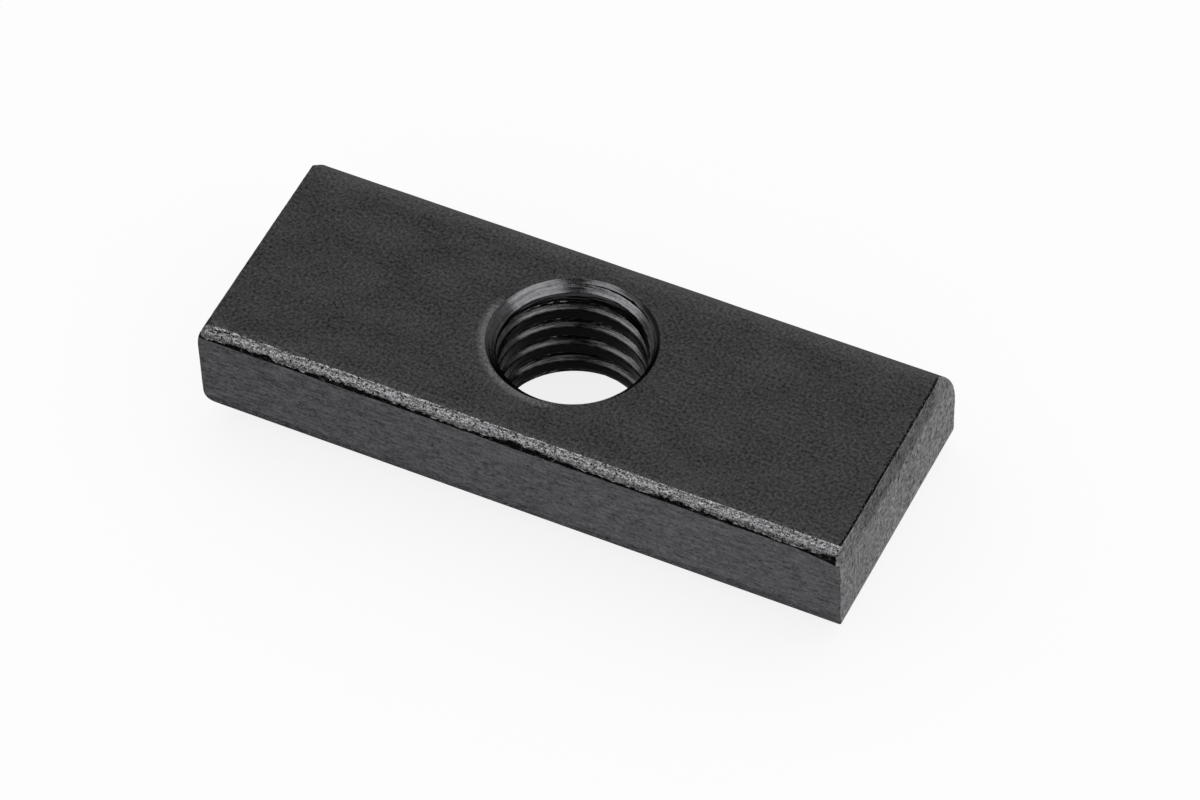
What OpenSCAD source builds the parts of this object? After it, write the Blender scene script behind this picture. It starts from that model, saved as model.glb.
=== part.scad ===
// T-slot nut: one piece of rolled flat bar, sheared to length and tapped through.
// +Z is the thread axis. The origin is under the middle of the bounding box, and the nut lies
// on its underside at z = 0. The front of the bar faces -Y and its back faces +Y.
// The tapped hole is drawn as its tapping bore, at the minor diameter of the thread.

/* [Bar] */
// Overall length of the nut, from corner to corner
bar_l = 42.8; // [34:0.1:60]
// Overall width of the nut
bar_w = 18; // [15:0.1:24]
// Thickness of the nut
bar_t = 8; // [7.8:0.1:12]

/* [Left sheared end] */
// How far the left end is off square, seen from above
left_skew = 1.5; // [0:0.1:3]
// How far the shear drew the top edge of the left end in
left_droop = 0.5; // [0.05:0.05:0.8]
// Height over which the left end bends in to its top edge
left_droop_h = 1.8; // [1:0.1:3]
// Radius along the bottom of the left end
left_roll_r = 2.3; // [0.3:0.1:3]

/* [Right sheared end] */
// How far the right end is off square, seen from above
right_skew = 0.8; // [0:0.1:3]
// How far the shear drew the top edge of the right end in
right_droop = 0.1; // [0.05:0.05:0.8]
// Height over which the right end bends in to its top edge
right_droop_h = 4.1; // [1:0.1:5]
// Radius along the bottom of the right end
right_roll_r = 1.5; // [0.3:0.1:2.8]

/* [Upright corners] */
// Radius of the two upright corners at the front
front_corner_r = 0.15; // [0.05:0.05:1]
// Radius of the two upright corners at the back
back_corner_r = 0.4; // [0.05:0.05:1]

/* [Rolled long edges] */
// Slope of the rolled back edge below the top face, from level
back_slope = 43.5; // [40:0.5:60]
// Radius that blends the rolled back edge into the upright back
back_blend_r = 4.2; // [2.5:0.1:5]
// Height at which the back stands upright
back_upright_z = 3.6; // [2.8:0.1:4.2]
// Radius of the bottom back edge
back_bottom_r = 1.2; // [0.5:0.1:2]
// Radius of the bottom front edge
front_bottom_r = 2.2; // [1:0.1:2.8]
// Draft of the front face, which leans in towards the bottom
front_draft = 3.3; // [0:0.1:6]

/* [Front lip] */
// Radius of the lip that runs along the top of the front
lip_r = 0.5; // [0.3:0.05:1]
// Height of the upright band below the round of the lip
lip_band = 0.05; // [0.05:0.05:0.4]
// Height of the seam that undercuts the lip
seam_h = 0.35; // [0.2:0.05:0.6]
// Depth of the seam below the lip
seam_depth = 0.45; // [0.35:0.05:0.6]
// How far the front face stays behind the lip, at the seam
front_set_back = 0.1; // [0.05:0.05:0.3]

/* [Thread M10 x 1.5] */
// Nominal diameter of the thread
thread_d = 10; // [6:1:12]
// Pitch of the thread
thread_pitch = 1.5; // [1:0.25:1.75]
// Distance of the hole from the middle of the length
hole_x = 0; // [-1:0.05:1]
// Distance of the hole from the middle of the width
hole_y = -0.3; // [-1:0.05:1]
// Diameter of the 90 degree countersink in the top face, over the thread diameter
top_sink_over = 0.5; // [0.1:0.05:1]
// Diameter of the 90 degree countersink in the underside, over the thread diameter
bottom_sink_over = 0.1; // [0.05:0.05:1]

/* [Hidden] */
$fn = 96;
// steps in a quarter turn of an edge radius
quarter_steps = 12;
// how far a cutting tool runs past the face that it cuts
past = 1;
half_w = bar_w / 2;
half_l = bar_l / 2;

// a basic 60 degree thread is cut 5/8 of its sharp height deep
thread_depth = 5 / 8 * sqrt(3) / 2 * thread_pitch;
bore_d = thread_d - 2 * thread_depth;

// the back edge: its blend radius, the slope above the radius and the crease at the top face
blend_centre = [half_w - back_blend_r, back_upright_z];
blend_end = blend_centre + back_blend_r * [sin(back_slope), cos(back_slope)];
back_crease_y = blend_end[0] - (bar_t - blend_end[1]) / tan(back_slope);

// the lip, the seam under it and the front face below the seam
lip_centre = [-half_w + lip_r, bar_t - lip_r];
seam_top_z = bar_t - lip_r - lip_band;
seam_bottom_z = seam_top_z - seam_h;
seam_root = [-half_w + seam_depth, seam_top_z - 0.4 * seam_h];
front_top = [-half_w + front_set_back, seam_bottom_z];

// the bottom radii touch the underside and the faces above them
back_bottom_centre = [half_w - back_bottom_r, back_bottom_r];
front_bottom_y = front_top[0] + (front_top[1] - front_bottom_r) * tan(front_draft)
                 + front_bottom_r / cos(front_draft);
front_bottom_centre = [front_bottom_y, front_bottom_r];

// Points on an arc about a centre, from angle a0 to a1
function arc(centre, r, a0, a1) =
    let (steps = ceil(abs(a1 - a0) / 90 * quarter_steps))
    [for (i = [0 : steps])
        let (a = a0 + (a1 - a0) * i / steps)
        centre + r * [cos(a), sin(a)]];

// Section across the bar, as [y, z], from the underside round the back to the front
function bar_section() = concat(
    arc(back_bottom_centre, back_bottom_r, -90, 0),
    arc(blend_centre, back_blend_r, 0, 90 - back_slope),
    [[back_crease_y, bar_t]],
    arc(lip_centre, lip_r, 90, 180),
    [[-half_w, seam_top_z], seam_root, front_top],
    arc(front_bottom_centre, front_bottom_r, 180 + front_draft, 270)
);

// An end is drawn facing +X, with its outer corner towards -Y. The outer corner reaches the full
// length, and the inner corner falls short of it by the skew.
function outer_centre(outer_r) = [half_l - outer_r, -half_w + outer_r];
function inner_centre(skew, outer_r, inner_r) =
    let (outer = outer_centre(outer_r),
         y = half_w - inner_r,
         x = outer[0] + (outer_r - inner_r) / cos(skew) - (y - outer[1]) * tan(skew))
    [x, y];

// Outline of an end seen from above, round both of its upright corners
function end_outline(skew, outer_r, inner_r) = concat(
    arc(outer_centre(outer_r), outer_r, -90, skew),
    arc(inner_centre(skew, outer_r, inner_r), inner_r, skew, 90)
);

// Where the line of the sheared face crosses the middle of the width
function end_mid(skew, outer_r) =
    let (outer = outer_centre(outer_r))
    outer[0] + outer_r / cos(skew) + outer[1] * tan(skew);

// The rolled bar, laid along X
module bar() {
    rotate([90, 0, 90])
        translate([0, 0, -half_l - past])
            linear_extrude(bar_l + 2 * past) polygon(bar_section());
}

// The prism that the shear leaves between the two cuts; the left end is an end turned half round
module blank_prism() {
    right = end_outline(right_skew, front_corner_r, back_corner_r);
    left = end_outline(left_skew, back_corner_r, front_corner_r);
    translate([0, 0, -past])
        linear_extrude(bar_t + 2 * past) polygon(concat(right, -left));
}

// Tool that shapes a sheared face: it draws the top edge in and rolls the bottom edge over
module end_trim(mid_x, skew, droop, droop_h, roll_r) {
    droop_r = (droop_h ^ 2 + droop ^ 2) / (2 * droop);
    droop_angle = asin(droop_h / droop_r);
    face = concat(
        arc([-roll_r, roll_r], roll_r, -90, 0),
        arc([-droop_r, bar_t - droop_h], droop_r, 0, droop_angle)
    );
    around = [[-droop, bar_t + past], [past, bar_t + past], [past, -past], [-roll_r, -past]];
    translate([mid_x, 0, 0])
        rotate([90, 0, skew])
            translate([0, 0, -bar_w])
                linear_extrude(2 * bar_w) polygon(concat(face, around));
}

// Tool for one 90 degree countersink, from the bore up through a top face at the given height
module countersink(face_z, over) {
    sink_d = thread_d + over;
    depth = (sink_d - bore_d) / 2;
    translate([0, 0, face_z - depth])
        cylinder(h = depth + past, d1 = bore_d, d2 = sink_d + 2 * past);
}

// The tapping bore with a countersink at each mouth
module tapped_bore() {
    translate([hole_x, hole_y, 0]) {
        translate([0, 0, -past]) cylinder(h = bar_t + 2 * past, d = bore_d);
        countersink(bar_t, top_sink_over);
        rotate([180, 0, 0]) countersink(0, bottom_sink_over);
    }
}

module t_slot_nut() {
    color([0.16, 0.16, 0.17])
        difference() {
            intersection() {
                bar();
                blank_prism();
            }
            end_trim(end_mid(right_skew, front_corner_r), right_skew,
                     right_droop, right_droop_h, right_roll_r);
            rotate([0, 0, 180])
                end_trim(end_mid(left_skew, back_corner_r), left_skew,
                         left_droop, left_droop_h, left_roll_r);
            tapped_bore();
        }
}

t_slot_nut();
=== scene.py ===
"""The looks of a T-slot nut: rolled flat bar, sheared to length, tapped M10 and blackened.

The mesh repeats the section, the ends and the bore of the CAD part and adds what is finer than they are: the
helical thread, the torn lip over its ragged seam, the groove along the sheared edge and the fine relief.
Lengths are in millimetres until the mesh is made, which turns them into metres.
"""
import itertools
import math

import bpy
import numpy as np
from mathutils import Matrix, Vector
from mathutils.geometry import delaunay_2d_cdt


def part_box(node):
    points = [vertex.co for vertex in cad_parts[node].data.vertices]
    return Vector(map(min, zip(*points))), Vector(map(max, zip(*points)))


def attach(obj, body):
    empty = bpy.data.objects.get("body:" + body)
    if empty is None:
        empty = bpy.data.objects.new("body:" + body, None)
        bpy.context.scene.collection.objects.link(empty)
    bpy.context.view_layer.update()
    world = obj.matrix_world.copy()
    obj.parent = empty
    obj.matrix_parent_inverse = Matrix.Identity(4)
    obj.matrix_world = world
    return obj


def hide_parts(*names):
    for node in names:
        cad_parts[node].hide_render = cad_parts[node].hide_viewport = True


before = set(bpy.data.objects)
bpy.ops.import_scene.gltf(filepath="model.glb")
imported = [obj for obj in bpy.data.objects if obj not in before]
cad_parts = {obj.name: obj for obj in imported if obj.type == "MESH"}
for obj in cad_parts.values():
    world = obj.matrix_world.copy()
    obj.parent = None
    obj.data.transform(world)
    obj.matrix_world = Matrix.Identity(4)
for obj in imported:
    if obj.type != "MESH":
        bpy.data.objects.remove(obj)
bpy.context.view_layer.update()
MM = 0.001

# --- the bar, as in the CAD part ---
NUT_LOW, NUT_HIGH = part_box("t_slot_nut")
BAR_L, BAR_W, BAR_T = [c / MM for c in NUT_HIGH - NUT_LOW]
HALF_L = BAR_L / 2
HALF_W = BAR_W / 2
BACK_SLOPE = 43.5
BACK_BLEND_R = 4.2
BACK_UPRIGHT_Z = 3.6
BACK_BOTTOM_R = 1.2
FRONT_BOTTOM_R = 2.2
FRONT_DRAFT = 3.3
LIP_R = 0.5
LIP_BAND = 0.05
SEAM_TOP_Z = BAR_T - LIP_R - LIP_BAND
SEAM_DEPTH = 0.45
FRONT_SET_BACK = 0.1
FRONT_CORNER_R = 0.15
BACK_CORNER_R = 0.4

# --- the thread, M10 x 1.5, right hand, and its countersinks ---
THREAD_D = 10.0
PITCH = 1.5
# the crests are blunt, and blunter still at the mouth, where they wear down over these heights
CREST_R, MOUTH_CREST_R = 4.5, 4.6
MOUTH_Z = (6.4, 7.1)
# at +X the roots lie this far below whole pitches of height
THREAD_PHASE = 0.14
HOLE_X = 0.0
HOLE_Y = -0.3
# the top countersink's round rim meets the top face at 10.5, which is the CAD's diameter
TOP_SINK_D = 10.44
RIM_R = 0.07
BOTTOM_SINK_D = 10.1
# how far the turning marks in the countersinks and the torn grain of the thread stray either way
TURNED, TORN_THREAD = 0.009, 0.012

# --- how fine the mesh is ---
STEPS_ALONG = 400
UNDER_POINTS, HEEL_POINTS, UPRIGHT_POINTS, BLEND_POINTS, SLOPE_POINTS = 16, 8, 4, 9, 6
TOP_POINTS, LIP_POINTS, FRONT_POINTS, FOOT_POINTS = 19, 20, 20, 14
SEAM_ROOF_POINTS, SEAM_WALL_POINTS, SEAM_SHELF_POINTS = 4, 7, 4
PROFILE_ROLL_STEPS, PROFILE_STEPS = 40, 120
HOLE_COLUMNS = 144
HOLE_ROWS = 200
# depths of the rows that round the hole's rim, and of the foot of that round
RIM_DEPTHS = (0, 0.004, 0.014)
RIM_FOOT = RIM_R * (1 - math.cos(math.pi / 4))
# how far the patches round the hole reach past its rim
PATCH_MARGIN = 1.0
# spacing of the free points that fill a patch or an end, and their least distance from its edges
PATCH_STEP, PATCH_GAP = 0.42, 0.2
END_STEP, END_GAP = 0.2, 0.14
# how far those points are shaken off their grid, as a share of the spacing
SCATTER = 0.25
MERGE_DISTANCE = 1e-7
# the triangulation's output type that keeps only what lies inside the given edges
INSIDE_OF_EDGES = 1

# --- the mesh's material slots, and the one that each stretch of the section has ---
# the crevice slot carries painted shade: the almost black colour of the seam, the lap and the groove
ROLLED, SHEARED, TORN, CUT, SHADED_CREVICE, SIDE, BACK = range(7)
SLOT_OF = {"under": ROLLED, "top": ROLLED, "lip": TORN, "seam": SHADED_CREVICE, "front": SIDE, "foot": SIDE,
           "back": BACK}

# --- smooth noise ---
NOISE_CELLS = 4096
noise_rng = np.random.default_rng(11)
NOISE_ORDER = noise_rng.permutation(NOISE_CELLS)
NOISE_VALUES = noise_rng.uniform(-1, 1, NOISE_CELLS)


def smooth_noise(seed, *coords):
    """Smooth noise from -1 to 1, at points given by one array of coordinates for each axis. The seed tells
    one noise from another, and the callers divide each coordinate by the size of a grain along it."""
    cells = [np.floor(c).astype(int) for c in coords]
    blends = [(c - k) ** 2 * (3 - 2 * (c - k)) for c, k in zip(coords, cells)]
    total = 0.0
    for corner in itertools.product((0, 1), repeat=len(coords)):
        key, weight = seed, 1.0
        for k, blend, step in zip(cells, blends, corner):
            key = NOISE_ORDER[(key + k + step) % NOISE_CELLS]
            weight = weight * (blend if step else 1 - blend)
        total = total + NOISE_VALUES[key] * weight
    return total


# --- the lip and the ragged seam under it ---
# distance round the lip, from the start of its round to its torn lower edge, at places along the bar
LIP_LOW = ((-21.4, 0.96), (-20.4, 1.02), (-18.6, 0.86), (-16.2, 0.66), (-15.6, 0.93), (-14.0, 0.92),
           (-12.8, 0.72), (-9.0, 0.76), (-6.5, 0.88), (-3.4, 0.96), (-2.2, 0.80), (0.0, 0.68), (3.2, 0.88),
           (7.5, 0.92), (10.7, 0.80), (11.8, 0.72), (14.8, 0.90), (17.1, 1.04), (18.3, 0.88), (19.4, 1.03),
           (20.4, 0.94), (21.1, 0.66))
# how far that edge wanders, coarsely and finely; it is calm within the first distance from the bar's ends and
# at its most ragged past the second
LIP_WANDER, LIP_CALM = (0.07, 0.05), (0.3, 0.8)
# the torn surface starts a little before the round, on the level top face, and reaches its depth at the round
LIP_START, LIP_FADE = -0.08, 0.08
# mean depth of the torn grain
LIP_GRAIN = 0.045
# the front face's torn upper edge lies a little lower than the CAD's plain one
SEAM_H = 0.39
# mean depth of the rubble in the seam, and of the waves in the rolled front and back
SEAM_RUBBLE, ROLLED_WAVE = 0.05, 0.008
# how far the seam's lower edge wanders, and how much its depth does
SEAM_WANDER, SEAM_DEPTH_WANDER = 0.02, 0.12
# the seam gapes towards the right end, where its lower edge falls away, faster and faster
GAPE_START, GAPE_END, GAPE_DROP, GAPE_POWER = 18.4, 21.2, 0.36, 1.6
# how much the seam's roof comes down and its floor rises towards the back
SEAM_NARROWS = (0.05, 0.03)
# the seam is shut at the first x of each pair and open at the second
CLOSE_LEFT, CLOSE_RIGHT = (-21.1, -20.7), (21.22, 21.12)
# a broken black line, a lap in the rolled steel, crosses the lip near the left end; its black is painted
# shade in the lap's crease;
# these are its places along the bar and its shares of the way round the lip there
LAP_X, LAP_SHARE = (-20.7, -18.2, -13.0), (0.30, 0.0, 0.0)
# the lap's depth, its half width in degrees as relief and in faces as painted shade, and the noise that
# breaks it
LAP_DEPTH, LAP_HALF_ANGLE, LAP_HALF_FACES, LAP_GAP_ABOVE = 0.09, 5.0, 0.8, 0.45
# the painted shade under the lip's left nose lies left of this x and past this share of the way round
LAP_SPOT_X, LAP_SPOT_SHARE = -20.8, 0.5


def lip_low(x):
    """Distance round the lip to its torn lower edge, ragged except right at the ends."""
    at, low = zip(*LIP_LOW)
    rough = LIP_WANDER[0] * smooth_noise(3, x / 0.55) + LIP_WANDER[1] * smooth_noise(4, x / 0.2)
    return np.interp(x, at, low) + rough * np.interp(HALF_L - abs(x), LIP_CALM, (0, 1))


def seam_floor(x):
    """Height of the front face's upper edge, which is the lower edge of the seam."""
    gape = np.clip((x - GAPE_START) / (GAPE_END - GAPE_START), 0, 1)
    return SEAM_TOP_Z - SEAM_H - GAPE_DROP * gape ** GAPE_POWER + SEAM_WANDER * smooth_noise(5, x / 0.8)


def seam_depth(x):
    """Depth of the seam below the lip."""
    depth = SEAM_DEPTH + SEAM_DEPTH_WANDER * smooth_noise(6, x / 0.4)
    open_left = np.clip((x - CLOSE_LEFT[0]) / (CLOSE_LEFT[1] - CLOSE_LEFT[0]), 0, 1)
    open_right = np.clip((x - CLOSE_RIGHT[0]) / (CLOSE_RIGHT[1] - CLOSE_RIGHT[0]), 0, 1)
    return depth * open_left * open_right


def lip_point(s):
    """Point at a distance s round the lip, from the top face over the round and straight down."""
    turn = min(max(s, 0.0) / LIP_R, math.pi / 2)
    drop = max(0.0, s - LIP_R * math.pi / 2)
    y = -HALF_W + LIP_R * (1 - math.sin(turn)) - min(s, 0.0)
    return np.array([y, BAR_T - LIP_R * (1 - math.cos(turn)) - drop])


# --- the section across the bar ---
def line(a, b, n):
    """n points from a up to, but without, b."""
    a, b = np.array(a, float), np.array(b, float)
    return [a + (b - a) * i / n for i in range(n)]


def arc(centre, r, a0, a1, n):
    """n points on an arc, in degrees, up to but without its end."""
    turns = [math.radians(a0 + (a1 - a0) * i / n) for i in range(n)]
    return [np.array(centre) + r * np.array([math.cos(t), math.sin(t)]) for t in turns]


def section_stretches(x):
    """The stretches of the section at x, each a name with its (y, z) points, anticlockwise."""
    slope, draft = math.radians(BACK_SLOPE), math.radians(FRONT_DRAFT)
    blend = np.array([HALF_W - BACK_BLEND_R, BACK_UPRIGHT_Z])
    blend_end = blend + BACK_BLEND_R * np.array([math.sin(slope), math.cos(slope)])
    crease = [blend_end[0] - (BAR_T - blend_end[1]) / math.tan(slope), BAR_T]
    heel = [HALF_W - BACK_BOTTOM_R, BACK_BOTTOM_R]
    low, depth = lip_low(x), seam_depth(x)
    edge = lip_point(low)
    front_top = np.array([-HALF_W + FRONT_SET_BACK, seam_floor(x)])
    roof = edge + np.array([depth, -SEAM_NARROWS[0]])
    shelf = front_top + np.array([depth, SEAM_NARROWS[1]])
    front_y = -HALF_W + FRONT_SET_BACK + (SEAM_TOP_Z - SEAM_H - FRONT_BOTTOM_R) * math.tan(draft)
    foot = np.array([front_y + FRONT_BOTTOM_R / math.cos(draft), FRONT_BOTTOM_R])
    foot_start = foot - FRONT_BOTTOM_R * np.array([math.cos(draft), math.sin(draft)])
    return [
        ("under", line([foot[0], 0], [heel[0], 0], UNDER_POINTS)),
        ("back", arc(heel, BACK_BOTTOM_R, -90, 0, HEEL_POINTS)),
        ("back", line([HALF_W, BACK_BOTTOM_R], [HALF_W, BACK_UPRIGHT_Z], UPRIGHT_POINTS)),
        ("back", arc(blend, BACK_BLEND_R, 0, 90 - BACK_SLOPE, BLEND_POINTS)),
        ("back", line(blend_end, crease, SLOPE_POINTS)),
        ("top", line(crease, lip_point(LIP_START), TOP_POINTS)),
        ("lip", [lip_point(LIP_START + (low - LIP_START) * i / LIP_POINTS) for i in range(LIP_POINTS)]),
        ("seam", line(edge, roof, SEAM_ROOF_POINTS)),
        ("seam", line(roof, shelf, SEAM_WALL_POINTS)),
        ("seam", line(shelf, front_top, SEAM_SHELF_POINTS)),
        ("front", line(front_top, foot_start, FRONT_POINTS)),
        ("foot", arc(foot, FRONT_BOTTOM_R, 180 + FRONT_DRAFT, 270, FOOT_POINTS)),
    ]


def section(x):
    """Points of the section at x, and the name of the stretch that each lies on."""
    stretches = section_stretches(x)
    points = np.array([p for _, ps in stretches for p in ps])
    return points, np.array([name for name, ps in stretches for _ in ps])


def section_normals(points):
    """Outward normals of a closed outline that runs anticlockwise."""
    along = np.roll(points, -1, 0) - np.roll(points, 1, 0)
    out = np.stack([along[:, 1], -along[:, 0]], 1)
    return out / np.maximum(np.linalg.norm(out, axis=1), 1e-9)[:, None]


# --- the sheared ends ---
# depth of the shallow relief that the shear left on both ends
END_RELIEF = 0.02
# bites in the right end near its front corner: their reach back from it, their depth, and how much deeper
# they get over these heights
BITE_REACH, BITE_DEPTH, BITE_TOP_DEPTH, BITE_TOP_Z = 0.5, 0.05, 0.08, (5.6, 6.8)


class End:
    """One sheared end: side is 1 for the right end and -1 for the left."""

    def __init__(self, side, skew, droop, droop_h, roll_r, outer_r):
        self.side = side
        self.skew = math.tan(math.radians(skew))
        self.droop, self.droop_h, self.roll_r = droop, droop_h, roll_r
        outer_y = -HALF_W + outer_r
        self.mid = HALF_L - outer_r + outer_r / math.cos(math.radians(skew)) + outer_y * self.skew
        heights = np.concatenate([roll_r * (1 - np.cos(np.linspace(0, math.pi / 2, PROFILE_ROLL_STEPS))),
                                  np.linspace(roll_r, BAR_T, PROFILE_STEPS)[1:]])
        steps = np.hypot(np.diff(heights), np.diff(self.drawn_in(heights)))
        self.heights, self.lengths = heights, np.concatenate([[0], np.cumsum(steps)])

    def drawn_in(self, z):
        """How far the end lies behind its plane at a height: rolled at the bottom, drawn in at the top."""
        r = self.roll_r
        rolled = r - np.sqrt(np.maximum(r * r - np.clip(r - z, 0, r) ** 2, 0))
        bend_r = (self.droop_h ** 2 + self.droop ** 2) / (2 * self.droop)
        above = np.clip(z - (BAR_T - self.droop_h), 0, self.droop_h)
        return rolled + bend_r - np.sqrt(bend_r ** 2 - above ** 2)

    def x(self, y, z):
        """Where the end's face lies, with the shallow relief that the shear left."""
        calm = np.clip(z / self.roll_r, 0, 1) ** 2
        streaks = smooth_noise(21, y / 0.5, z / 2.2) + 0.6 * smooth_noise(22, y / 0.22, z / 0.6)
        near = np.exp(-np.maximum(y + HALF_W, 0) / BITE_REACH) * calm
        deeper = BITE_TOP_DEPTH * np.interp(z, BITE_TOP_Z, (0, 1))
        bites = near * (BITE_DEPTH * (1 + smooth_noise(23, z / 0.9)) + deeper)
        relief = END_RELIEF * (1 + streaks / 1.6) * calm + bites * (self.side > 0)
        return self.side * (self.mid - self.side * y * self.skew - self.drawn_in(z) - relief)

    def length(self, z):
        """Distance up the end's profile to a height."""
        return np.interp(z, self.heights, self.lengths)

    def height(self, length):
        """Height at a distance up the end's profile."""
        return np.interp(length, self.lengths, self.heights)


LEFT = End(-1, skew=1.5, droop=0.5, droop_h=1.8, roll_r=2.3, outer_r=BACK_CORNER_R)
RIGHT = End(1, skew=0.8, droop=0.1, droop_h=4.1, roll_r=1.5, outer_r=FRONT_CORNER_R)

# --- the edges between the skin and the ends ---
# radius at the lip, which fades by the second value for each mm back along the top edge
LIP_END_R, LIP_END_FADE = {LEFT: 0.45, RIGHT: 0.06}, 0.7
# radius at the back crease, which changes by the second value for each mm either way
CREASE_END_R, CREASE_END_FADE = 0.12, 0.3
TOP_END_R = 0.04
# radius all round the underside, where the roll has already taken the corner off
UNDER_END_R = 0.03
ROLL_ANGLES = [math.radians(a) for a in (0, 22.5, 45, 67.5, 90)]
# rows next to the right end, by their distance from its top edge, and how deep the groove is there
GROOVE = ((0.40, 0.0), (0.17, 0.0), (0.13, 0.10), (0.09, 0.14), (0.06, 0.10))
# the last plain row before the groove's rows is at least this far from them
GROOVE_CLEAR = 0.03
# the groove's share of its depth along the edge: its mean, its swing either way and its limits
GROOVE_MEAN, GROOVE_SWING, GROOVE_LIMITS = 0.75, 0.5, (0.3, 1.2)


def end_radius(end, points, names):
    """Radius between the bar's skin and the end's face, at every point of the section."""
    plain = {"under": UNDER_END_R, "back": BACK_CORNER_R, "top": TOP_END_R, "lip": LIP_END_R[end],
             "seam": FRONT_CORNER_R, "front": FRONT_CORNER_R, "foot": FRONT_CORNER_R}
    r = np.array([plain[n] for n in names])
    seam = points[names == "seam", 1]
    shut = np.interp(points[:, 1], (seam.min(), seam.max()), (FRONT_CORNER_R, LIP_END_R[end]))
    r = np.where(names == "seam", shut, r)
    from_lip = np.hypot(points[:, 0] + HALF_W - LIP_R, points[:, 1] - BAR_T)
    r = np.where(names == "top", np.maximum(r, LIP_END_R[end] - LIP_END_FADE * from_lip), r)
    from_crease = np.linalg.norm(points - points[names == "top"][0], axis=1)
    r = np.where(names == "top", np.maximum(r, CREASE_END_R - CREASE_END_FADE * from_crease), r)
    r = np.where(names == "back", np.minimum(r, CREASE_END_R + CREASE_END_FADE * from_crease), r)
    low = np.clip(points[:, 1] / FRONT_BOTTOM_R, 0, 1)
    return UNDER_END_R + (r - UNDER_END_R) * low


# --- the relief of the skin ---
def lip_relief(x, s):
    """How deep the torn lip lies below its smooth form, at a distance s from where it starts."""
    grain = smooth_noise(31, x / 0.24, s / 0.15) + 0.7 * smooth_noise(32, x / 0.12, s / 0.10)
    ridge = smooth_noise(33, x / 1.1, s / 0.13)
    fade = np.clip(s / LIP_FADE, 0, 1)
    turn = np.degrees((s + LIP_START) / LIP_R)
    lap = 90 * np.interp(x, LAP_X, LAP_SHARE)
    inside = (LAP_X[0] < x) & (x < LAP_X[1])
    groove = LAP_DEPTH * np.exp(-((turn - lap) / LAP_HALF_ANGLE) ** 2) * inside
    return LIP_GRAIN * (1 + 0.45 * grain + 0.25 * ridge) * fade + groove


def row_at(x, points, names):
    """One row of the skin: the section's points, each at its own x, with the relief of its stretch."""
    y, z = points.T
    lip = names == "lip"
    s = np.zeros(len(points))
    s[lip] = np.concatenate([[0], np.cumsum(np.linalg.norm(np.diff(points[lip], axis=0), axis=1))])
    rubble = SEAM_RUBBLE * (1 + smooth_noise(41, x / 0.2, z / 0.12, y / 0.2))
    rubble = rubble * np.clip(seam_depth(x) / SEAM_DEPTH, 0, 1)
    wave = ROLLED_WAVE * (1 + smooth_noise(42, x / 2.5, z / 0.8))
    depth = np.select([lip, names == "seam", (names == "front") | (names == "back")],
                      [lip_relief(x, s), rubble, wave], 0.0)
    return np.column_stack([x, points - section_normals(points) * depth[:, None]])


def end_rings(end):
    """The rows of points that round the skin over to an end's face, from the skin inwards."""
    points, names = section(end.side * HALF_L)
    out = section_normals(points)
    r = end_radius(end, points, names)
    rings = []
    for a in ROLL_ANGLES:
        inset = points - out * (r * (1 - math.cos(a)))[:, None]
        x = end.x(inset[:, 0], inset[:, 1]) - end.side * r * (1 - math.sin(a))
        rings.append(np.column_stack([x, inset]))
    return rings


def skin():
    """The bar's skin as a grid, rows along X by points round the section, and the stretch of each point."""
    left, right = end_rings(LEFT), end_rings(RIGHT)
    start, stop = left[0][:, 0], right[0][:, 0]
    names = section(0.0)[1]
    inside = []
    for u in np.linspace(0, 1, STEPS_ALONG)[1:-1]:
        x = start + (stop - start) * u
        if (stop - x).min() > GROOVE[0][0] + GROOVE_CLEAR:
            points, _ = section(float(np.median(x)))
            inside.append(row_at(x, points, names))
    for gap, depth in GROOVE:
        x = stop - gap
        points, _ = section(float(np.median(x)))
        row = row_at(x, points, names)
        share = np.clip(GROOVE_MEAN + GROOVE_SWING * smooth_noise(51, row[:, 1] / 0.5), *GROOVE_LIMITS)
        row[:, 2] -= np.where(names == "top", depth * share, 0)
        inside.append(row)
    return np.array(left[::-1] + inside + right), names


# --- the hole ---
def thread_radius(theta, z):
    """Radius of the threaded wall at an angle and a height: 60 degree flanks, flat roots and blunt crests."""
    along = (z - PITCH * theta / (2 * math.pi) + THREAD_PHASE) / PITCH
    from_root = np.abs(along - np.round(along)) * PITCH
    crest = np.interp(z, MOUTH_Z, (CREST_R, MOUTH_CREST_R))
    flank = THREAD_D / 2 - np.maximum(from_root - PITCH / 16, 0) * math.sqrt(3)
    return np.maximum(flank, crest)


def rim_radius(depth):
    """Radius of the top countersink, rounded at its rim, at a depth below the top face."""
    if depth < RIM_FOOT:
        return TOP_SINK_D / 2 + RIM_R * math.tan(math.pi / 8) - math.sqrt(2 * RIM_R * depth - depth ** 2)
    return TOP_SINK_D / 2 - depth


def hole_wall():
    """The wall of the hole as a grid: rows in height by columns round it."""
    theta = np.arange(HOLE_COLUMNS) * 2 * math.pi / HOLE_COLUMNS
    across, along = np.cos(theta), np.sin(theta)
    heights = np.concatenate([BAR_T - np.array(RIM_DEPTHS), np.linspace(BAR_T - RIM_FOOT, 0, HOLE_ROWS)])
    rows = []
    for z in heights:
        level = np.full(HOLE_COLUMNS, z)
        thread = thread_radius(theta, z)
        sink = max(rim_radius(BAR_T - z), BOTTOM_SINK_D / 2 - z)
        turned = TURNED * smooth_noise(61, level / 0.09, across * 1.5, along * 1.5)
        torn = TORN_THREAD * smooth_noise(62, theta * 6, level / 0.12)
        r = np.where(thread > sink, thread + torn, sink + turned * (0 < z < BAR_T))
        rows.append(np.column_stack([HOLE_X + r * across, HOLE_Y + r * along, level]))
    return np.array(rows)


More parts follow.
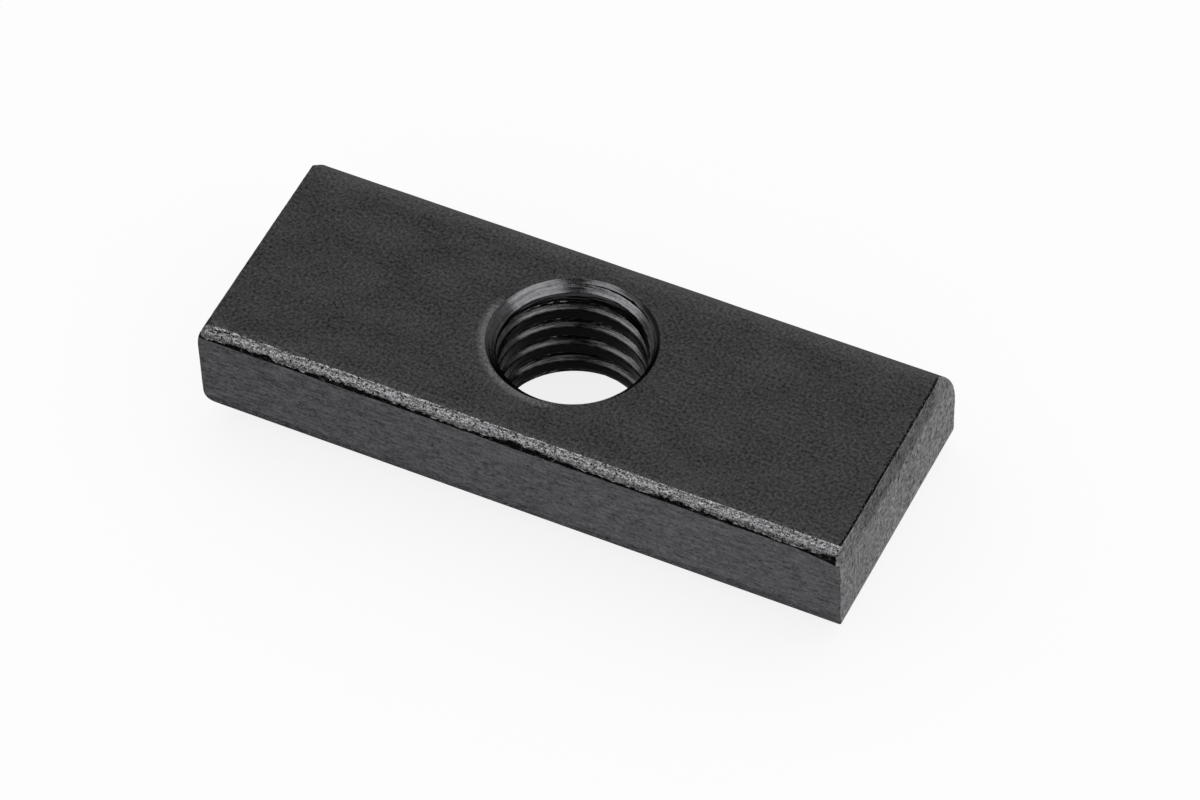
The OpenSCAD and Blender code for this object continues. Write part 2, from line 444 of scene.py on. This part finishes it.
# --- the mesh ---
class Builder:
    """Gathers vertices and faces, with a material number for each face."""

    def __init__(self):
        self.points = []
        self.faces = []
        self.slots = []

    def add_grid(self, grid):
        """Adds a grid of points and returns the grid of their numbers."""
        first = len(self.points)
        self.points.extend(grid.reshape(-1, 3))
        return first + np.arange(grid.shape[0] * grid.shape[1]).reshape(grid.shape[:2])

    def face(self, corners, slot):
        """Adds one face, by the numbers of its corners."""
        self.faces.append([int(c) for c in corners])
        self.slots.append(slot)

    def fill(self, loops, inner, plane, slot, flip):
        """Fills a flat outline of existing vertices with triangles. The first loop is the outline and the
        others are holes; inner holds free flat points, and flip turns the triangles over."""
        known = [i for loop in loops for i in loop]
        flat = plane.flat(np.array([self.points[i] for i in known]))
        edges, at, bounds = [], 0, []
        for loop in loops:
            n = len(loop)
            edges += [(at + i, at + (i + 1) % n) for i in range(n)]
            bounds.append(flat[at:at + n])
            at += n
        everything = [Vector(p) for p in np.vstack([flat, inner])]
        result = delaunay_2d_cdt(everything, edges, [], INSIDE_OF_EDGES, MERGE_DISTANCE)
        corners, _, faces, origin, _, _ = result
        number = {}
        for i, (corner, sources) in enumerate(zip(corners, origin)):
            old = [s for s in sources if s < len(known)]
            number[i] = known[old[0]] if old else len(self.points)
            if not old:
                self.points.append(plane.space(np.array([corner]))[0])
        for f in faces:
            middle = sum((corners[i] for i in f), Vector((0, 0))) / len(f)
            if all(crossings(middle, loop) % 2 == 0 for loop in bounds[1:]):
                f = [number[i] for i in f]
                self.face(reversed(f) if flip else f, slot)


def crossings(p, loop):
    """How often a ray from p along +X crosses a closed loop of flat points."""
    a, b = loop, np.roll(loop, -1, 0)
    spans = (a[:, 1] > p[1]) != (b[:, 1] > p[1])
    with np.errstate(divide="ignore", invalid="ignore"):
        at = a[:, 0] + (p[1] - a[:, 1]) * (b[:, 0] - a[:, 0]) / (b[:, 1] - a[:, 1])
    return int(np.sum(spans & (at > p[0])))


class Level:
    """A level plane at a height: flat points are (x, y)."""

    def __init__(self, z):
        self.z = z

    def flat(self, points):
        """Flat points from points in space."""
        return points[:, :2]

    def space(self, flat):
        """Points in space from flat points."""
        return np.column_stack([flat, np.full(len(flat), self.z)])


class EndFace:
    """The curved face of an end, unrolled: flat points are (y, distance up the profile)."""

    def __init__(self, end):
        self.end = end

    def flat(self, points):
        """Flat points from points in space."""
        return np.column_stack([points[:, 1], self.end.length(points[:, 2])])

    def space(self, flat):
        """Points in space from flat points."""
        z = self.end.height(flat[:, 1])
        return np.column_stack([self.end.x(flat[:, 0], z), flat[:, 0], z])


def scatter(low, high, step, keep):
    """A jittered grid of flat points inside a box, where keep says so."""
    rng = np.random.default_rng(5)
    a = np.arange(low[0] + step / 2, high[0], step)
    b = np.arange(low[1] + step / 2, high[1], step)
    grid = np.stack(np.meshgrid(a, b), -1).reshape(-1, 2)
    grid = grid + rng.uniform(-SCATTER, SCATTER, grid.shape) * step
    return grid[[keep(p) for p in grid]]


def in_lap(x, share):
    """Whether a face of the lip, a share of the way round it, lies in the lap or in the spot under the left
    nose, which get the painted shade.
    """
    if x < LAP_SPOT_X:
        return share >= LAP_SPOT_SHARE
    at = np.interp(x, LAP_X, LAP_SHARE)
    gap = smooth_noise(52, np.array([x / 0.5]))[0] > LAP_GAP_ABOVE
    return LAP_X[0] < x < LAP_X[-1] and abs(share - at) < LAP_HALF_FACES / LIP_POINTS and not gap


def skin_slot(name, to_right, x, step):
    """Material slot of a face of the skin: to_right is how many faces lie between it and the right end's
    face, and step is how many lie between it and the start of its stretch."""
    if name in ("back", "seam", "top") and to_right < len(ROLL_ANGLES) - 1:
        return SHEARED
    # painted shade: the rows of the groove along the right end's top edge get the almost black crevice colour
    if name == "top" and to_right < len(ROLL_ANGLES) + len(GROOVE) - 2:
        return SHADED_CREVICE
    # painted shade: the lap and the spot under the lip's left nose get the almost black crevice colour
    if name == "lip" and in_lap(x, step / LIP_POINTS):
        return SHADED_CREVICE
    return SLOT_OF[name]


def window(grid, names, name, reach):
    """First and last row, and first and last point, of the part of the skin that the hole's patch fills."""
    js = [j for j in range(len(names)) if names[j] == name]
    ys = grid[grid.shape[0] // 2, js, 1]
    inside = [j for j, y in zip(js, ys) if abs(y - HOLE_Y) < reach]
    xs = grid[:, inside, 0]
    rows = np.nonzero((np.abs(xs - HOLE_X) < reach).all(1))[0]
    return rows[0], rows[-1], inside[0], inside[-1]


def add_patch(b, ids, part, rim, slot, flip):
    """Fills the part of the skin that lies round one mouth of the hole, in to its rim."""
    i0, i1, j0, j1 = part
    ring = [ids[i, j0] for i in range(i0, i1)] + [ids[i1, j] for j in range(j0, j1)]
    ring += [ids[i, j1] for i in range(i1, i0, -1)] + [ids[i0, j] for j in range(j1, j0, -1)]
    edge = np.array([b.points[i] for i in ring])
    clear_r = TOP_SINK_D / 2 + PATCH_GAP
    inner = scatter(edge.min(0)[:2] + PATCH_GAP, edge.max(0)[:2] - PATCH_GAP, PATCH_STEP,
                    lambda p: math.hypot(p[0] - HOLE_X, p[1] - HOLE_Y) > clear_r)
    b.fill([ring, list(rim)], inner, Level(edge[0, 2]), slot, flip)


def add_skin(b, grid, names, rims):
    """Adds the bar's skin, with a patch round each mouth of the hole, and returns its points' numbers."""
    ids = b.add_grid(grid)
    rows, count = ids.shape
    reach = TOP_SINK_D / 2 + PATCH_MARGIN
    windows = {name: window(grid, names, name, reach) for name in rims}
    starts = {name: list(names).index(name) for name in SLOT_OF}
    for i in range(rows - 1):
        for j, name in enumerate(names):
            i0, i1, j0, j1 = windows.get(name, (0, 0, 0, 0))
            if i0 <= i < i1 and j0 <= j < j1:
                continue
            k = (j + 1) % count
            slot = skin_slot(name, rows - 2 - i, grid[i, j, 0], j - starts[name])
            b.face([ids[i, j], ids[i, k], ids[i + 1, k], ids[i + 1, j]], slot)
    for name, rim in rims.items():
        add_patch(b, ids, windows[name], rim, SLOT_OF[name], flip=(name == "under"))
    return ids


def add_end(b, end, ring):
    """Closes one end of the skin, inside its last ring of points."""
    face = EndFace(end)
    loop = face.flat(np.array([b.points[i] for i in ring]))

    def keep(p):
        return np.linalg.norm(loop - p, axis=1).min() > END_GAP and crossings(p, loop) % 2 == 1

    inner = scatter(loop.min(0), loop.max(0), END_STEP, keep)
    b.fill([list(ring)], inner, face, SHEARED, flip=(end.side < 0))


def nut_mesh():
    """The whole nut as one closed mesh."""
    b = Builder()
    grid, names = skin()
    wall = b.add_grid(hole_wall())
    for i in range(wall.shape[0] - 1):
        for j in range(HOLE_COLUMNS):
            k = (j + 1) % HOLE_COLUMNS
            b.face([wall[i, j], wall[i, k], wall[i + 1, k], wall[i + 1, j]], CUT)
    ids = add_skin(b, grid, names, {"top": wall[0], "under": wall[-1]})
    add_end(b, LEFT, ids[0])
    add_end(b, RIGHT, ids[-1])
    mesh = bpy.data.meshes.new("t_slot_nut_dressed")
    mesh.from_pydata([Vector(p) * MM for p in b.points], [], b.faces)
    mesh.polygons.foreach_set("material_index", b.slots)
    mesh.validate()
    return mesh


# --- the materials ---
# the range that most of a noise lies in
MOST = (0.3, 0.7)
# the top face gets rubbed lighter between these places, towards its back edge and towards its left edge
BACK_WEAR_Y, LEFT_WEAR_X = (5.1, 6.4), (-20.6, -21.3)
# a lighter ring lies outside the hole's rim on its near left side: it fades in between these distances from
# the hole's axis, and between these sums of x and y from it
RING_R, RING_SIDE = (5.80, 5.46), (-3.6, -5.2)
# inside the hole's rim, at its right, the edge is darker: it fades in between these distances from the axis,
# and between these x from it
DARK_RIM_R, DARK_RIM_X = (4.96, 5.08), (0.9, 1.9)
# the front is a little darker at the left of this range along the bar than at its right
FRONT_FADE_X, FRONT_FADE = (-12, 10), (-0.025, 0.004)
# the sheared ends get painted shade towards the top between these heights, where the drawn-in top turns from
# the light, but less so near their front and back corners
SHADED_TOP_Z, SHADED_TOP_FRONT_Y, SHADED_TOP_BACK_Y = (5.9, 6.4), (-8.4, -5.0), (4.8, 6.4)
# the torn lip gets a painted highlight towards its top, between these distances below the top face
LIP_HIGHLIGHT = (0.12, 0.02)
# the thread's crests get painted shade, almost black; that fades out this far past their radius and between
# these heights
CREST_SHADE, CREST_SHADE_Z = (0.04, 0.10), (0.6, 0.9)
# painted shade lower in the hole: the cut steel gets brighter between these heights
CUT_SHADE_Z = (1.5, 7.4)


class Shader:
    """Builds a node material round its Principled shader, with lengths in millimetres."""

    def __init__(self, name):
        self.material = bpy.data.materials.new(name)
        self.material.use_nodes = True
        self.nodes = self.material.node_tree.nodes
        self.links = self.material.node_tree.links
        self.surface = self.nodes["Principled BSDF"]
        self.place = self.nodes.new("ShaderNodeTexCoord").outputs["Object"]

    def put(self, socket, value):
        """Sets a socket to a plain value, or links another node's output to it."""
        if isinstance(value, bpy.types.NodeSocket):
            self.links.new(value, socket)
        else:
            socket.default_value = value

    def math(self, kind, *values):
        """The result of one sum on values or other nodes' outputs."""
        node = self.nodes.new("ShaderNodeMath")
        node.operation = kind
        for socket, value in zip(node.inputs, values):
            self.put(socket, value)
        return node.outputs[0]

    def axis(self, name):
        """One coordinate of the surface, in millimetres."""
        node = self.nodes.new("ShaderNodeSeparateXYZ")
        self.links.new(self.place, node.inputs[0])
        return self.math("DIVIDE", node.outputs[name], MM)

    def from_hole(self):
        """The surface's x and y from the axis of the hole, and its distance from that axis."""
        x = self.math("SUBTRACT", self.axis("X"), HOLE_X)
        y = self.math("SUBTRACT", self.axis("Y"), HOLE_Y)
        squares = self.math("ADD", self.math("MULTIPLY", x, x), self.math("MULTIPLY", y, y))
        return x, y, self.math("SQRT", squares)

    def mix(self, a, share, b):
        """A share of one value and the rest of another."""
        return self.math("ADD", self.math("MULTIPLY", a, share), self.math("MULTIPLY", b, 1 - share))

    def noise(self, grain, detail=2.0, rough=0.5, place=None):
        """Noise from 0 to 1, with a grain size along each axis in the units of its place, or in millimetres
        on the object itself."""
        scale = self.nodes.new("ShaderNodeMapping")
        scale.inputs["Scale"].default_value = [1 / (g * (1 if place else MM)) for g in grain]
        self.links.new(place or self.place, scale.inputs["Vector"])
        node = self.nodes.new("ShaderNodeTexNoise")
        node.inputs["Scale"].default_value = 1.0
        node.inputs["Detail"].default_value = detail
        node.inputs["Roughness"].default_value = rough
        self.links.new(scale.outputs[0], node.inputs["Vector"])
        return node.outputs[0]

    def span(self, value, low, high, to_low=0.0, to_high=1.0):
        """Maps a value from one range to another and holds it inside the new one."""
        node = self.nodes.new("ShaderNodeMapRange")
        for name, v in (("Value", value), ("From Min", low), ("From Max", high),
                        ("To Min", to_low), ("To Max", to_high)):
            self.put(node.inputs[name], v)
        return node.outputs[0]

    def blend(self, factor, a, b):
        """Mixes two colours."""
        node = self.nodes.new("ShaderNodeMix")
        node.data_type = "RGBA"
        self.put(node.inputs[0], factor)
        for socket, colour in ((node.inputs[6], a), (node.inputs[7], b)):
            self.put(socket, colour if isinstance(colour, bpy.types.NodeSocket) else (*colour, 1))
        return node.outputs[2]

    def shade(self, tone, reach, dark, light):
        """A colour that runs from dark to light as the tone runs over a reach."""
        return self.blend(self.span(tone, *reach), dark, light)

    def bump(self, height, depth):
        """Bumps the surface; height runs from 0 to 1 and depth is in millimetres."""
        node = self.nodes.new("ShaderNodeBump")
        node.inputs["Distance"].default_value = depth * MM
        self.links.new(height, node.inputs["Height"])
        return node.outputs[0]

    def finish(self, colour, roughness, normal, edge=1.0):
        """The material as a dark metal; edge is the share of its glancing reflection that it keeps."""
        self.put(self.surface.inputs["Base Color"], colour)
        self.put(self.surface.inputs["Roughness"], roughness)
        self.surface.inputs["Metallic"].default_value = 1.0
        self.surface.inputs["Specular Tint"].default_value = (edge, edge, edge, 1)
        self.links.new(normal, self.surface.inputs["Normal"])
        return self.material


def rolled_steel():
    """Black mill scale: a fine speckle over faint mottling, rubbed lighter along the back and left edges, and
    lighter in a ring outside the hole's rim."""
    s = Shader("blackened_rolled")
    speckle = s.noise((0.20, 0.20, 0.20), 4, 0.7)
    mottle = s.noise((3.2, 2.0, 2.0), 3)
    tone, reach = s.mix(speckle, 0.85, mottle), (0.32, 0.68)
    plain = s.shade(tone, reach, (0.0070, 0.0065, 0.0068), (0.0770, 0.0760, 0.0765))
    rubbed = s.shade(tone, reach, (0.0230, 0.0225, 0.0225), (0.1050, 0.1040, 0.1040))
    light = s.shade(tone, reach, (0.030, 0.030, 0.030), (0.160, 0.160, 0.162))
    x, y, r = s.from_hole()
    ring = s.math("MULTIPLY", s.span(r, *RING_R), s.span(s.math("ADD", x, y), *RING_SIDE))
    wear = s.math("MAXIMUM", s.span(s.axis("Y"), *BACK_WEAR_Y), s.span(s.axis("X"), *LEFT_WEAR_X))
    colour = s.blend(ring, s.blend(wear, plain, rubbed), light)
    rough = s.span(speckle, *MOST, 0.36, 0.50)
    return s.finish(colour, rough, s.bump(speckle, 0.02), edge=0.3)


def side_steel():
    """The rolled front: mill scale drawn out along the bar, with small dark pits."""
    s = Shader("blackened_side")
    streak = s.noise((0.9, 0.3, 0.2), 3, 0.6)
    speckle = s.noise((0.22, 0.18, 0.18), 4, 0.7)
    pits = s.span(s.noise((0.34, 0.24, 0.20), 1), 0.68, 0.76)
    tone = s.math("ADD", s.mix(speckle, 0.55, streak), s.span(s.axis("X"), *FRONT_FADE_X, *FRONT_FADE))
    scale = s.shade(tone, MOST, (0.030, 0.030, 0.033), (0.156, 0.157, 0.164))
    colour = s.blend(pits, scale, (0.03, 0.03, 0.03))
    rough = s.span(tone, *MOST, 0.40, 0.52)
    height = s.math("SUBTRACT", tone, s.math("MULTIPLY", pits, 0.6))
    return s.finish(colour, rough, s.bump(height, 0.03), edge=0.2)


def back_steel():
    """The rolled back: dull mill scale."""
    s = Shader("blackened_back")
    tone = s.noise((0.45, 0.30, 0.30), 4, 0.65)
    colour = s.shade(tone, MOST, (0.018, 0.018, 0.019), (0.068, 0.068, 0.071))
    return s.finish(colour, s.span(tone, *MOST, 0.58, 0.68), s.bump(tone, 0.03), edge=0.5)


def sheared_steel():
    """The sheared ends: grey speckle, faintly drawn down the end, with painted shade towards the top where it
    is drawn in.
    """
    s = Shader("blackened_sheared_painted_shade")
    streak = s.noise((0.5, 0.45, 1.3), 3, 0.55)
    speckle = s.noise((0.26, 0.26, 0.26), 4, 0.7)
    tone, reach = s.mix(speckle, 0.85, streak), (0.34, 0.66)
    wander = s.math("MULTIPLY", s.math("SUBTRACT", s.noise((1.5, 0.7, 1.2), 3), 0.5), 1.6)
    # painted shade: the end's colour darkens towards the top, where the drawn-in face turns from the light
    shaded_top = s.span(s.math("ADD", s.axis("Z"), wander), *SHADED_TOP_Z)
    shaded_top = s.math("MULTIPLY", shaded_top, s.span(s.axis("Y"), *SHADED_TOP_FRONT_Y, 0.15, 1.0))
    shaded_top = s.math("MULTIPLY", shaded_top, s.span(s.axis("Y"), *SHADED_TOP_BACK_Y, 1.0, 0.3))
    torn = s.shade(tone, reach, (0.010, 0.010, 0.010), (0.335, 0.335, 0.341))
    # this darker colour is the painted shade at the top of the end
    smooth = s.shade(tone, reach, (0.004, 0.004, 0.004), (0.175, 0.175, 0.178))
    rough = s.math("ADD", s.span(tone, *MOST, 0.38, 0.52), s.math("MULTIPLY", shaded_top, 0.06))
    return s.finish(s.blend(shaded_top, torn, smooth), rough, s.bump(tone, 0.035), edge=0.55)


def torn_steel():
    """The torn lip: bright grains among black ones, with a painted highlight along its top."""
    s = Shader("torn_lip_painted_highlight")
    grain = s.noise((0.20, 0.15, 0.13), 3, 0.7)
    fine = s.noise((0.09, 0.09, 0.09), 2, 0.6)
    tone, reach = s.mix(grain, 0.6, fine), (0.41, 0.58)
    low = s.shade(tone, reach, (0.004, 0.004, 0.004), (0.150, 0.150, 0.154))
    high = s.shade(tone, reach, (0.004, 0.004, 0.004), (0.200, 0.200, 0.205))
    # painted highlight: the lip's colour runs lighter towards its top
    up = s.span(s.axis("Z"), *[BAR_T - below for below in LIP_HIGHLIGHT])
    rough = s.span(tone, *MOST, 0.55, 0.34)
    return s.finish(s.blend(up, low, high), rough, s.bump(tone, 0.08))


def cut_steel():
    """The tapped and countersunk hole: blackened turning marks, with painted shade on the thread's crests and
    lower in the hole, and a darker edge inside the rim at the right."""
    s = Shader("blackened_cut_painted_shade")
    x, y, r = s.from_hole()
    z = s.axis("Z")
    turned = s.nodes.new("ShaderNodeCombineXYZ")
    s.links.new(r, turned.inputs[0])
    s.links.new(z, turned.inputs[1])
    s.links.new(s.math("MULTIPLY", s.math("ARCTAN2", y, x), THREAD_D / 2), turned.inputs[2])
    rings = s.noise((0.10, 0.10, 2.5), 3, 0.6, turned.outputs[0])
    fine = s.noise((0.25, 0.25, 0.25), 3, 0.6)
    tone = s.mix(rings, 0.7, fine)
    # painted shade: the thread's crests are made almost black
    crest_shade_r = [CREST_R + past for past in CREST_SHADE]
    crest = s.math("MULTIPLY", s.span(r, *crest_shade_r, 1.0, 0.0), s.span(z, *CREST_SHADE_Z))
    # painted shade lower in the hole: the colour used low down is darker than the one used near the top
    bright = s.shade(tone, MOST, (0.010, 0.010, 0.011), (0.070, 0.070, 0.073))
    dull = s.shade(tone, MOST, (0.006, 0.006, 0.006), (0.036, 0.036, 0.037))
    colour = s.blend(crest, s.blend(s.span(z, *CUT_SHADE_Z), dull, bright), (0.004, 0.004, 0.004))
    ragged = s.math("ADD", x, s.math("MULTIPLY", fine, 1.5))
    dark_rim = s.math("MULTIPLY", s.span(r, *DARK_RIM_R), s.span(ragged, *DARK_RIM_X))
    colour = s.blend(dark_rim, colour, (0.010, 0.010, 0.010))
    rough = s.span(tone, *MOST, 0.14, 0.26)
    return s.finish(colour, rough, s.bump(tone, 0.018), edge=0.6)


def crevice_painted_shade():
    """The seam, the lap and the groove: painted shade, almost black, with a few grains that catch the light.
    """
    s = Shader("painted_shade_crevice")
    grain = s.noise((0.22, 0.16, 0.12), 3, 0.6)
    # painted shade: almost black colour in the hollows
    colour = s.shade(grain, (0.54, 0.70), (0.008, 0.008, 0.008), (0.12, 0.12, 0.12))
    return s.finish(colour, s.span(grain, *MOST, 0.8, 0.6), s.bump(grain, 0.04), edge=0.0)


FINISHES = {ROLLED: rolled_steel, SHEARED: sheared_steel, TORN: torn_steel, CUT: cut_steel,
            SHADED_CREVICE: crevice_painted_shade, SIDE: side_steel, BACK: back_steel}
SHARP_ABOVE = math.radians(35)

mesh = nut_mesh()
nut = bpy.data.objects.new("nut", mesh)
bpy.context.scene.collection.objects.link(nut)
for slot in sorted(FINISHES):
    mesh.materials.append(FINISHES[slot]())
mesh.shade_smooth()
mesh.set_sharp_from_angle(angle=SHARP_ABOVE)
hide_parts("t_slot_nut")
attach(nut, "root")

# --- the camera, fitted to the photograph with the bar's length at FIT_L; angles are in degrees ---
CAM_AZ, CAM_EL, CAM_ROLL = 25.7997, 47.0336, -0.2420
FIT_L = 42.0
CAM_DIST = 9.1293 * FIT_L
CAM_SHIFT = (0.0340 * FIT_L, 0.0471 * FIT_L)
# the fit's origin in the CAD's frame
FIT_TO_CAD = Vector((0.209, -0.301, 0.0))
# the focal length in pixels of the photograph, and the photograph's width in pixels
FOCAL_PX = 6327.9
PHOTO_W = 1200
SENSOR_MM = 36.0
CLIP_M = (0.01, 10)


def direction(azimuth, elevation):
    """Unit vector to a place in the studio; azimuth 0 is in front of the bar and elevation is from level."""
    a, e = math.radians(azimuth), math.radians(elevation)
    return Vector((math.sin(a) * math.cos(e), -math.cos(a) * math.cos(e), math.sin(e)))


def add_camera():
    """The photograph's camera."""
    back = direction(CAM_AZ, CAM_EL)
    right = direction(CAM_AZ + 90, 0)
    up = back.cross(right)
    c, s = math.cos(math.radians(CAM_ROLL)), math.sin(math.radians(CAM_ROLL))
    axes = Matrix((right * c + up * s, up * c - right * s, back)).transposed()
    data = bpy.data.cameras.new("camera")
    data.sensor_fit = "HORIZONTAL"
    data.sensor_width = SENSOR_MM
    data.lens = FOCAL_PX / PHOTO_W * SENSOR_MM
    data.clip_start, data.clip_end = CLIP_M
    camera = bpy.data.objects.new("camera", data)
    place = axes @ Vector((*CAM_SHIFT, CAM_DIST)) + FIT_TO_CAD
    camera.matrix_world = Matrix.Translation(place * MM) @ axes.to_4x4()
    bpy.context.scene.collection.objects.link(camera)
    bpy.context.scene.camera = camera


# --- the studio, in metres and degrees: a pale floor, a white surround with a dark gap in front and above,
# --- and two soft boxes; the floor glows, so that its shadows stay as faint as the photograph's
FLOOR_HALF = 1.5
FLOOR_GLOW, FLOOR_SHADE = 0.84, 0.18
BOX_AWAY, BOX_WIDE, BOX_HIGH, BOX_RADIANCE = 0.6, 0.62, 0.56, 5.0
BOX_AZIMUTHS, BOX_ELEVATION = (-37, 78), 44
GAP_AZIMUTH, GAP_ELEVATION, GAP_LIGHT = 20, 60, 0.06
# the gap is at its darkest within the first angle from its middle and has faded out at the second
GAP_INNER, GAP_OUTER = 22, 35


def add_floor():
    """The pale floor that the nut lies on."""
    corners = [(x * FLOOR_HALF, y * FLOOR_HALF, 0) for x, y in ((-1, -1), (1, -1), (1, 1), (-1, 1))]
    floor_mesh = bpy.data.meshes.new("floor")
    floor_mesh.from_pydata(corners, [], [(0, 1, 2, 3)])
    floor = bpy.data.objects.new("floor", floor_mesh)
    bpy.context.scene.collection.objects.link(floor)
    material = bpy.data.materials.new("pale_floor")
    material.use_nodes = True
    surface = material.node_tree.nodes["Principled BSDF"]
    surface.inputs["Base Color"].default_value = (FLOOR_SHADE, FLOOR_SHADE, FLOOR_SHADE, 1)
    surface.inputs["Roughness"].default_value = 1.0
    surface.inputs["Specular IOR Level"].default_value = 0
    surface.inputs["Emission Color"].default_value = (1, 1, 1, 1)
    surface.inputs["Emission Strength"].default_value = FLOOR_GLOW
    floor_mesh.materials.append(material)


def add_soft_box(azimuth):
    """A soft box that only shows as a reflection, so that it casts no shadow on the floor."""
    data = bpy.data.lights.new("soft_box", "AREA")
    data.shape = "RECTANGLE"
    data.size, data.size_y = BOX_WIDE, BOX_HIGH
    data.energy = BOX_RADIANCE * math.pi * BOX_WIDE * BOX_HIGH
    box = bpy.data.objects.new("soft_box", data)
    towards = direction(azimuth, BOX_ELEVATION)
    box.location = towards * BOX_AWAY
    box.rotation_euler = towards.to_track_quat("Z", "Y").to_euler()
    box.visible_diffuse = False
    bpy.context.scene.collection.objects.link(box)


def add_surround():
    """The white surround, with its dark gap."""
    world = bpy.data.worlds.new("studio")
    bpy.context.scene.world = world
    world.use_nodes = True
    nodes, links = world.node_tree.nodes, world.node_tree.links
    look = nodes.new("ShaderNodeTexCoord")
    dot = nodes.new("ShaderNodeVectorMath")
    dot.operation = "DOT_PRODUCT"
    dot.inputs[1].default_value = direction(GAP_AZIMUTH, GAP_ELEVATION)
    links.new(look.outputs["Generated"], dot.inputs[0])
    fade = nodes.new("ShaderNodeMapRange")
    fade.interpolation_type = "SMOOTHSTEP"
    fade.inputs["From Min"].default_value = math.cos(math.radians(GAP_OUTER))
    fade.inputs["From Max"].default_value = math.cos(math.radians(GAP_INNER))
    fade.inputs["To Min"].default_value = 1.0
    fade.inputs["To Max"].default_value = GAP_LIGHT
    links.new(dot.outputs["Value"], fade.inputs["Value"])
    links.new(fade.outputs[0], nodes["Background"].inputs["Strength"])
    nodes["Background"].inputs["Color"].default_value = (1, 1, 1, 1)


add_camera()
add_floor()
for azimuth in BOX_AZIMUTHS:
    add_soft_box(azimuth)
add_surround()
bpy.context.scene.view_settings.view_transform = "Standard"
